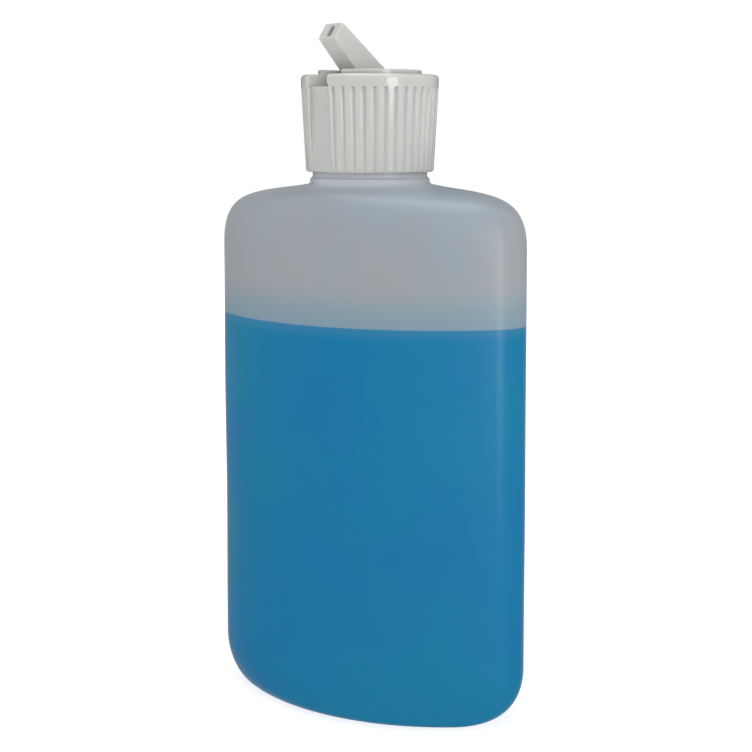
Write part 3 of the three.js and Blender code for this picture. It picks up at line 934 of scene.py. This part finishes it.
def liner_foam():
    """Pressed foam with fine open cells, with shade painted darker in each cell's pit."""
    finish = Finish("liner_foam", Roughness=0.85)
    cells = finish.nodes.new("ShaderNodeTexVoronoi")
    finish.links.new(finish.place, cells.inputs["Vector"])
    cells.inputs["Scale"].default_value = 1 / (FOAM_CELL * MM)
    # Painted shade: each cell's pit, where the bump sinks, is coloured darker.
    painted_pit_shade = finish.ramp(cells.outputs["Distance"], *FOAM_RANGE)
    finish.feed("Base Color", finish.mix(painted_pit_shade, FOAM_PIT_SHADE, FOAM_LIGHT))
    finish.bump((cells.outputs["Distance"], FOAM_DEPTH))
    return finish.material


# ---------------------------------------------------------------- pieces


def fit(piece, body, node, material):
    """Gives a piece its finish, its CAD body, and the CAD node that it stands for."""
    piece.data.materials.clear()
    piece.data.materials.append(material)
    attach(piece, body)
    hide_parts(node)


fit(make_bottle(), "bottle", "bottle", natural_plastic())
fit(make_liquid(), "bottle", "liquid", blue_liquid())
fit(make_liner(), "liner", "cap_liner", liner_foam())
fit(make_cap(), "cap", "cap", white_plastic("cap_white", CAP_GRAIN))
fit(make_spout(), "spout", "spout", white_plastic("spout_white", SPOUT_GRAIN))


# ---------------------------------------------------------------- stage, light and camera


def light_path_switch(nodes, links, seen, mirrored, scattered):
    """Shows one shader to the camera, another in reflections, and a third to all other light that bounces."""
    path = nodes.new("ShaderNodeLightPath")
    surface = scattered
    for ray, shader in (("Is Glossy Ray", mirrored), ("Is Camera Ray", seen)):
        switch = nodes.new("ShaderNodeMixShader")
        links.new(path.outputs[ray], switch.inputs[0])
        links.new(surface, switch.inputs[1])
        links.new(shader, switch.inputs[2])
        surface = switch.outputs[0]
    return surface


def make_backdrop():
    """A white backdrop that gives the object only a dim, even light."""
    world = bpy.data.worlds.new("studio")
    world.use_nodes = True
    nodes, links = world.node_tree.nodes, world.node_tree.links
    backgrounds = []
    for colour in (BACKDROP_WHITE, ROOM_MIRRORED, ROOM_GREY):
        background = nodes.new("ShaderNodeBackground")
        background.inputs["Color"].default_value = (*colour, 1)
        backgrounds.append(background.outputs[0])
    links.new(light_path_switch(nodes, links, *backgrounds), nodes["World Output"].inputs[0])
    bpy.context.scene.world = world


def make_floor():
    """A pale round floor that runs out into the white backdrop."""
    angle = np.linspace(0, 2 * math.pi, FLOOR_SIDES, endpoint=False)
    level = np.zeros_like(angle)
    rings = [np.stack([radius * np.cos(angle), radius * np.sin(angle), level], 1) for radius in FLOOR_RADII]
    underside = [0, 0, -FLOOR_THICKNESS]
    rings += [rings[-1] + underside, rings[0] + underside]
    floor = loft("pale_floor", rings)
    material = bpy.data.materials.new("pale_floor")
    material.use_nodes = True
    nodes, links = material.node_tree.nodes, material.node_tree.links
    nodes.remove(nodes["Principled BSDF"])
    shadowed = nodes.new("ShaderNodeBsdfDiffuse")
    shadowed.inputs["Color"].default_value = (*FLOOR_SEEN, 1)
    glow = nodes.new("ShaderNodeEmission")
    place = nodes.new("ShaderNodeTexCoord")
    distance = nodes.new("ShaderNodeVectorMath")
    distance.operation = "LENGTH"
    links.new(place.outputs["Object"], distance.inputs[0])
    fade = nodes.new("ShaderNodeMapRange")
    fade.interpolation_type = "SMOOTHSTEP"
    links.new(distance.outputs["Value"], fade.inputs["Value"])
    sockets = ("From Min", "From Max", "To Min", "To Max")
    for socket, value in zip(sockets, FLOOR_GLOW_REACH + FLOOR_GLOW):
        fade.inputs[socket].default_value = value
    links.new(fade.outputs["Result"], glow.inputs["Strength"])
    seen = nodes.new("ShaderNodeAddShader")
    links.new(shadowed.outputs[0], seen.inputs[0])
    links.new(glow.outputs[0], seen.inputs[1])
    mirrored = nodes.new("ShaderNodeBsdfDiffuse")
    mirrored.inputs["Color"].default_value = (*FLOOR_MIRRORED, 1)
    pale = seen.outputs[0]
    surface = light_path_switch(nodes, links, pale, mirrored.outputs[0], pale)
    links.new(surface, nodes["Material Output"].inputs["Surface"])
    floor.data.materials.append(material)


def softbox(name, azimuth, elevation, distance, width, height, radiance, lights=True, reflected=False):
    """A rectangular lamp that faces the object. Azimuth is counted round from the front, towards +X.

    Distance, width and height are in metres. A lamp lights matt surfaces, shows as a highlight in glossy
    ones, or does both.
    """
    turn, rise = math.radians(azimuth), math.radians(elevation)
    towards = Vector((math.sin(turn) * math.cos(rise), -math.cos(turn) * math.cos(rise), math.sin(rise)))
    data = bpy.data.lights.new(name, "AREA")
    data.shape = "RECTANGLE"
    data.size = width
    data.size_y = height
    data.energy = radiance * math.pi * width * height
    data.color = LAMP_COOL
    lamp = bpy.data.objects.new(name, data)
    lamp.location = Vector((0, 0, LIGHT_AIM_HEIGHT)) + towards * distance
    lamp.rotation_euler = (-towards).to_track_quat("-Z", "Y").to_euler()
    lamp.visible_camera = False
    lamp.visible_diffuse = lights
    lamp.visible_glossy = reflected
    bpy.context.scene.collection.objects.link(lamp)


def make_camera():
    """A camera a little above the middle of the object, looking slightly down at it."""
    turn = math.radians(CAMERA_AZIMUTH)
    back = Vector((math.sin(turn), -math.cos(turn), 0))
    right = Vector((math.cos(turn), math.sin(turn), 0))
    data = bpy.data.cameras.new("camera")
    data.sensor_width = CAMERA_SENSOR
    data.lens = CAMERA_LENS
    data.clip_start = CAMERA_NEAREST
    camera = bpy.data.objects.new("camera", data)
    camera.location = back * CAMERA_DISTANCE + right * CAMERA_ASIDE + Vector((0, 0, CAMERA_HEIGHT))
    camera.rotation_euler = (math.pi / 2 - math.radians(CAMERA_PITCH), 0, turn)
    bpy.context.scene.collection.objects.link(camera)
    bpy.context.scene.camera = camera


make_backdrop()
make_floor()
highlight_only = {"lights": False, "reflected": True}
softbox("window", 66, 5.2, distance=0.45, width=0.145, height=0.115, radiance=6.0, **highlight_only)
softbox("window_foot", 71, -8.8, distance=0.45, width=0.1, height=0.05, radiance=9.0, **highlight_only)
softbox("key", 58, 24, distance=1.1, width=0.7, height=0.8, radiance=2.95)
softbox("front_fill", 10, 15, distance=1.4, width=1.6, height=1.2, radiance=0.5)
softbox("left_fill", -72, 20, distance=1.3, width=1.2, height=1.2, radiance=1.6)
softbox("right_fill", 120, 25, distance=1.3, width=1.0, height=1.0, radiance=1.25)
softbox("overhead", 20, 82, distance=1.1, width=1.0, height=1.0, radiance=3.3, reflected=True)
make_camera()
bpy.context.scene.view_settings.view_transform = "Standard"
